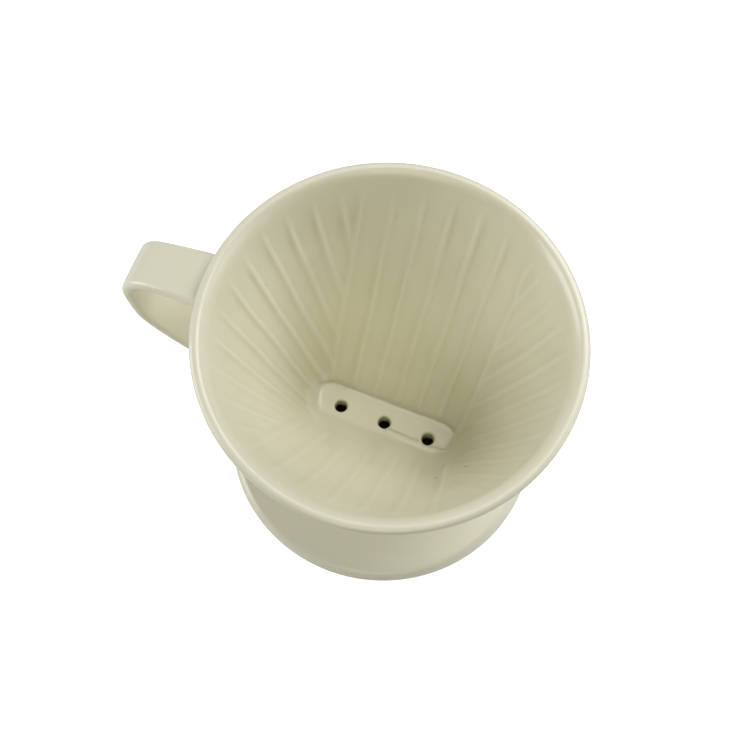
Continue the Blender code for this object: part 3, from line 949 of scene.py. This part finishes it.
def build_collar_mesh(sizes, look):
    """The locating collar, luted to the flange and wiped bare on its foot."""
    outer, wall = COLLAR_RADIUS, sizes.collar_wall
    inner = outer - wall
    joint, roll = 1.1 * MM, 1.0 * MM
    ceiling = SEAT_Z + sizes.rebate
    top = ceiling + 0.6 * MM
    profile = [(outer - 0.6 * MM, top), (outer - 0.6 * MM, SEAT_Z + 0.3 * MM),
               (outer + joint * 0.9, SEAT_Z + 0.05 * MM)]
    profile += [(outer + joint * (1 - s), SEAT_Z - joint * (1 - c)) for c, s in arc(15, 91, 15)]
    profile += [(outer, z) for z in np.linspace(SEAT_Z - joint, roll, 5)[1:-1]]
    profile += [(outer - roll * (1 - c), roll * (1 - s)) for c, s in arc(0, 91, 15)]
    profile += [(outer - roll - (wall - 2 * roll) * t, 0.0) for t in (0.25, 0.5, 0.75)]
    profile += [(inner + roll * (1 - c), roll * (1 - s)) for c, s in arc(90, -1, -15)]
    profile += [(inner, z) for z in np.linspace(roll, ceiling - 0.5 * MM, 6)[1:]]
    profile.append((inner - 0.15 * MM, ceiling - 0.15 * MM))
    profile.append((inner - 0.5 * MM, ceiling + 0.02 * MM))
    profile.append((inner + 0.6 * MM, top))
    rows = [(0.0, radius, z, 1.0) for radius, z in profile]
    grid = grid_of_rows(sizes, rows, COLLAR_COLUMNS)
    x, y, z = np.moveaxis(grid, 2, 0)
    angle = np.arctan2(y, x)
    wiped = 0.42 * MM + 0.10 * MM * np.sin(angle * 7 + 0.5) + 0.06 * MM * np.sin(angle * 19)
    # Painted shade up towards the joint under the flange; the lighter band just above the wiped
    # foot is the glaze's thin edge.
    fields = {
        "painted_shade": 0.6 * smooth_step(SEAT_Z - 1.6 * MM, SEAT_Z, z),
        "highlight_and_thin_glaze": bell(z, wiped + 0.35 * MM, 0.3 * MM),
        "bare_clay": 1 - smooth_step(-0.08 * MM, 0.08 * MM, z - wiped),
    }
    faces = wrap_faces(len(rows), COLLAR_COLUMNS, closed=True)
    glaze = ivory_glaze("ivory glaze, collar", look, clay=True)
    return new_piece("collar", grid, faces, fields, glaze)


ROOT_FLARE = 22 * MM
ROOT_WIDER = 1.6 * MM
ROOT_THICKER = 2.2 * MM
ROOT_DEPTH = 1.3 * MM
STRAP_ROUNDING = 0.42
STRAP_CROWN = 0.22 * MM
LEAST_FLAT = 4 * MM


def handle_guides(sizes):
    """Guide points of the strap's middle line, from its upper root to its lower one."""
    rim_z, floor_z = rim_height(sizes), sizes.floor_height
    reach = HANDLE_REACH - sizes.handle_thickness / 2 - 0.3 * MM
    upper = rim_z - 8.0 * MM
    lower = floor_z + 0.20 * (rim_z - floor_z)
    drop = upper - lower
    root = sum(inside_row(sizes, upper)) + sizes.wall
    foot = sum(inside_row(sizes, lower)) + sizes.wall
    return [
        (-(root - 3.5 * MM), upper + 0.2 * MM),
        (-(root + 4.0 * MM), upper),
        (-(root + 0.56 * (reach - root)), upper - 0.035 * drop),
        (-(reach - 3.6 * MM), upper - 0.105 * drop),
        (-(reach - 0.15 * MM), upper - 0.235 * drop),
        (-(reach - 1.0 * MM), upper - 0.40 * drop),
        (-(reach - 4.3 * MM), upper - 0.59 * drop),
        (-(foot + 0.70 * (reach - foot)), upper - 0.765 * drop),
        (-(foot + 0.44 * (reach - foot)), upper - 0.90 * drop),
        (-(foot + 0.18 * (reach - foot)), upper - 0.97 * drop),
        (-(foot - 4.0 * MM), lower),
    ]


def smooth_path(guides, spacing):
    """Evenly spaced points of a Catmull-Rom curve through the guide points."""
    padded = np.array([guides[0], *guides, guides[-1]])
    path = []
    for a, b, c, d in zip(padded, padded[1:], padded[2:], padded[3:]):
        for t in np.linspace(0.0, 1.0, 40, endpoint=False):
            path.append(0.5 * (2 * b + (c - a) * t + (2 * a - 5 * b + 4 * c - d) * t ** 2
                               + (3 * b - a - 3 * c + d) * t ** 3))
    path.append(padded[-1])
    path = np.array(path)
    run = np.concatenate([[0.0], np.cumsum(np.linalg.norm(np.diff(path, axis=0), axis=1))])
    places = np.linspace(0.0, run[-1], int(run[-1] / spacing))
    return np.stack([np.interp(places, run, path[:, k]) for k in (0, 1)], axis=1), places


def strap_outline(width, thickness, corner, points):
    """Points round a rounded oblong, and the outward direction at each."""
    spots, outward = [], []
    flats = (width / 2 - corner, thickness / 2 - corner)
    per_corner = points // 4
    for sx, sy, start in ((1, 1, 0), (-1, 1, 90), (-1, -1, 180), (1, -1, 270)):
        for k in range(per_corner):
            angle = math.radians(start + 90 * k / (per_corner - 1))
            c, s = math.cos(angle), math.sin(angle)
            spots.append((sx * flats[0] + corner * c, sy * flats[1] + corner * s))
            outward.append((c, s))
    return np.array(spots), np.array(outward)


def build_handle_mesh(sizes, look):
    """The strap handle, flared into the cone's wall at both roots."""
    path, places = smooth_path(handle_guides(sizes), 0.35 * MM)
    along = np.gradient(path, axis=0)
    along /= np.linalg.norm(along, axis=1, keepdims=True)
    out = np.stack([along[:, 1], -along[:, 0]], axis=1)
    near = 1 - smooth_step(2 * MM, ROOT_FLARE, np.minimum(places, places[-1] - places))
    sections, directions = [], []
    for i in range(len(path)):
        width = sizes.handle_width + ROOT_WIDER * near[i]
        thick = sizes.handle_thickness + ROOT_THICKER * near[i]
        spots, outward = strap_outline(width, thick, STRAP_ROUNDING * thick, 48)
        spots, outward = add_flats(spots, outward, 10)
        crown = STRAP_CROWN * (1 - (2 * spots[:, 0] / width) ** 2) * np.sign(spots[:, 1])
        rise = spots[:, 1] + crown * (np.abs(outward[:, 1]) > 0.5)
        sections.append(np.stack([
            path[i, 0] + out[i, 0] * rise, spots[:, 0], path[i, 1] + out[i, 1] * rise], axis=1))
        directions.append(np.stack([
            out[i, 0] * outward[:, 1], outward[:, 0], out[i, 1] * outward[:, 1]], axis=1))
    grid, way = np.array(sections), np.array(directions)

    def off_wall(points):
        """Distance outside the cone's outer wall, measured square to it."""
        level = wall_distance(sizes, points[:, :, 0], points[:, :, 1], points[:, :, 2])
        return (level - sizes.wall) * 0.92

    gap = off_wall(grid)
    radius = sizes.handle_fillet
    inward = np.clip(radius - gap, 0.0, radius)
    spread = radius - np.sqrt(np.maximum(radius ** 2 - inward ** 2, 0.0))
    grid = grid + way * spread[:, :, None]
    grid = tuck_ends(grid, off_wall, -ROOT_DEPTH)
    gap = off_wall(grid)
    # Painted shade where the strap meets the wall, and painted highlight along its rounded edges.
    darkening = 0.75 * bell(np.maximum(gap - 0.5 * MM, 0.0), 0.0, 1.7 * MM)
    lightening = 0.6 * bell(np.abs(way[:, :, 1]), 0.7, 0.25) * (1 - darkening)
    rows, columns = grid.shape[:2]
    faces = wrap_faces(rows, columns)
    faces.append(tuple(range(columns)))
    faces.append(tuple(range((rows - 1) * columns, rows * columns)))
    fields = {"painted_shade": darkening, "highlight_and_thin_glaze": lightening}
    glaze = ivory_glaze("ivory glaze, handle", look, mottle=0.2)
    return new_piece("strap", grid, faces, fields, glaze, weld=True)


def add_flats(spots, outward, count):
    """Adds points along the long flat sides of an outline, so that they can be crowned."""
    all_spots, all_out = [], []
    for spot, following, way in zip(spots, np.roll(spots, -1, axis=0), outward):
        parts = count if abs(following[0] - spot[0]) > LEAST_FLAT else 1
        for t in np.arange(parts) / parts:
            all_spots.append(spot * (1 - t) + following * t)
            all_out.append(way)
    return np.array(all_spots), np.array(all_out)


def tuck_ends(grid, off_wall, depth):
    """Stops each line of the strap at the given depth inside the wall."""
    gap = off_wall(grid)
    rows, columns = gap.shape
    for j in range(columns):
        for order in (range(rows), range(rows - 1, -1, -1)):
            order = list(order)
            inside = 0
            while inside < rows // 3 and gap[order[inside], j] < depth:
                inside += 1
            if inside:
                a, b = order[inside - 1], order[inside]
                t = (depth - gap[a, j]) / (gap[b, j] - gap[a, j])
                stop = grid[a, j] * (1 - t) + grid[b, j] * t
                for k in order[:inside]:
                    grid[k, j] = stop
    return grid


# ---- stage


def camera_axes(azimuth, elevation, roll):
    """Right, up and back directions of a camera, from angles in degrees."""
    a, e, r = (math.radians(v) for v in (azimuth, elevation, roll))
    back = Vector((math.sin(a) * math.cos(e), -math.cos(a) * math.cos(e), math.sin(e)))
    right = Vector((math.cos(a), math.sin(a), 0.0))
    up = back.cross(right)
    return (
        math.cos(r) * right - math.sin(r) * up,
        math.sin(r) * right + math.cos(r) * up,
        back,
    )


# The camera stands square to this line of sight, and the lights are placed from it.
CAMERA_AZIMUTH = 18.1
CAMERA_ELEVATION = 68.676
CAMERA_ROLL = -3.8125
CAMERA_OFFSET = (-4.433 * MM, -10.167 * MM, 432.58 * MM)
LIGHT_DISTANCE = 0.9
LIGHT_SIZE = 0.55
LIGHT_TARGET_Z = 0.05
FLOOR_HALF = 3.0
FLOOR_GAP = 0.05 * MM


def add_camera(sizes, stage):
    """The camera, looking down into the cone from the front."""
    axes = camera_axes(CAMERA_AZIMUTH, CAMERA_ELEVATION, CAMERA_ROLL)
    data = bpy.data.cameras.new("camera")
    data.lens = stage.lens
    data.sensor_width = 36.0
    data.clip_start = 0.01
    camera = add_object("camera", data)
    matrix = Matrix(axes).transposed().to_4x4()
    matrix.translation = Vector((AXIS_X, 0.0, rim_height(sizes)))
    for axis, offset in zip(axes, CAMERA_OFFSET):
        matrix.translation += offset * axis
    camera.matrix_world = matrix
    bpy.context.scene.camera = camera


def add_softbox(name, azimuth, elevation, power, tint):
    """A square soft light aimed at the dripper. Azimuth 0 is the camera's right, 90 behind."""
    a, e = math.radians(azimuth + CAMERA_AZIMUTH), math.radians(elevation)
    way = Vector((math.cos(a) * math.cos(e), math.sin(a) * math.cos(e), math.sin(e)))
    data = bpy.data.lights.new(name, "AREA")
    data.shape = "SQUARE"
    data.size = LIGHT_SIZE
    data.energy = power
    data.color = tint
    light = add_object(name, data)
    light.location = Vector((AXIS_X, 0.0, LIGHT_TARGET_Z)) + way * LIGHT_DISTANCE
    light.rotation_euler = way.to_track_quat("Z", "Y").to_euler()


def add_floor(stage):
    """A wide pale floor under the dripper."""
    mesh = bpy.data.meshes.new("floor")
    corners = [(-1, -1), (1, -1), (1, 1), (-1, 1)]
    mesh.from_pydata([(FLOOR_HALF * x, FLOOR_HALF * y, 0) for x, y in corners],
                     [], [(0, 1, 2, 3)])
    mesh.materials.append(floor_paper(stage))
    floor = add_object("floor", mesh)
    floor.location = (AXIS_X, 0.0, -FLOOR_GAP)


def add_surround(stage):
    """An even white surround."""
    world = bpy.data.worlds.new("surround")
    world.use_nodes = True
    tree = world.node_tree
    background = tree.nodes["Background"]
    background.inputs["Color"].default_value = (1.0, 1.0, 1.0, 1.0)
    eye = add_node(tree, "ShaderNodeLightPath", -600, 0).outputs["Is Camera Ray"]
    strength = remap(tree, -300, 0, eye, 0.0, 1.0, stage.sky, stage.white)
    tree.links.new(strength, background.inputs["Strength"])
    bpy.context.scene.world = world


# ---- operators and panel


class BuildsPiece:
    """What the operators of the four pieces share: each builds one and hands it over."""

    def execute(self, context):
        scene = context.scene
        piece = self.build(scene.dripper_sizes, scene.dripper_glaze)
        place(piece, self.node, self.slot)
        return {"FINISHED"}


class DRIPPER_OT_cone(BuildsPiece, Operator):
    """Build the filter cone with its ribs, slot floor and drip holes"""

    bl_idname = "dripper.cone"
    bl_label = "Cone"
    build, node, slot = staticmethod(build_cone_mesh), "filter_cone", "cone_glaze"


class DRIPPER_OT_flange(BuildsPiece, Operator):
    """Build the seating flange"""

    bl_idname = "dripper.flange"
    bl_label = "Flange"
    build, node, slot = staticmethod(build_flange_mesh), "base_flange", "flange_glaze"


class DRIPPER_OT_collar(BuildsPiece, Operator):
    """Build the locating collar"""

    bl_idname = "dripper.collar"
    bl_label = "Collar"
    build, node, slot = staticmethod(build_collar_mesh), "locating_collar", "collar_clay"


class DRIPPER_OT_handle(BuildsPiece, Operator):
    """Build the strap handle"""

    bl_idname = "dripper.handle"
    bl_label = "Handle"
    build, node, slot = staticmethod(build_handle_mesh), "handle", "handle_glaze"


class DRIPPER_OT_stage(Operator):
    """Set up the floor, the lights and the camera"""

    bl_idname = "dripper.stage"
    bl_label = "Stage"

    def execute(self, context):
        scene = context.scene
        stage = scene.dripper_stage
        add_floor(stage)
        add_surround(stage)
        add_softbox("key light", 45.0, 45.0, stage.key, (1.0, 1.0, 1.0))
        add_softbox("high light", 60.0, 65.0, stage.high, (1.0, 0.98, 0.88))
        add_softbox("front light", 270.0, 45.0, stage.front, (1.0, 0.97, 0.70))
        add_softbox("right light", 0.0, 20.0, stage.right, (0.82, 0.90, 1.0))
        add_softbox("left light", 180.0, 20.0, stage.left, (0.97, 1.0, 1.0))
        add_camera(scene.dripper_sizes, stage)
        scene.view_settings.view_transform = "Standard"
        return {"FINISHED"}


class DRIPPER_PT_panel(Panel):
    """Dripper building steps"""

    bl_idname = "DRIPPER_PT_panel"
    bl_label = "Dripper"
    bl_space_type = "VIEW_3D"
    bl_region_type = "UI"
    bl_category = "Dripper"

    def draw(self, context):
        for step in STEPS:
            self.layout.operator(step.bl_idname, text=step.bl_label)
        for group in SETTINGS:
            box = self.layout.box()
            settings = getattr(context.scene, group)
            for name in settings.__annotations__:
                box.prop(settings, name)


STEPS = (DRIPPER_OT_cone, DRIPPER_OT_flange, DRIPPER_OT_collar, DRIPPER_OT_handle,
         DRIPPER_OT_stage)
SETTINGS = {"dripper_sizes": DripperSizes, "dripper_glaze": GlazeLook,
            "dripper_stage": StageLook}
CLASSES = (*SETTINGS.values(), *STEPS, DRIPPER_PT_panel)


def register():
    """Adds the classes and their settings to Blender."""
    for item in CLASSES:
        bpy.utils.register_class(item)
    for name, group in SETTINGS.items():
        setattr(bpy.types.Scene, name, PointerProperty(type=group))


def unregister():
    """Takes the settings and the classes out of Blender."""
    for name in SETTINGS:
        delattr(bpy.types.Scene, name)
    for item in reversed(CLASSES):
        bpy.utils.unregister_class(item)


def main():
    """Builds every piece and the stage."""
    register()
    bpy.ops.dripper.cone()
    bpy.ops.dripper.flange()
    bpy.ops.dripper.collar()
    bpy.ops.dripper.handle()
    bpy.ops.dripper.stage()


if __name__ == "__main__":
    main()
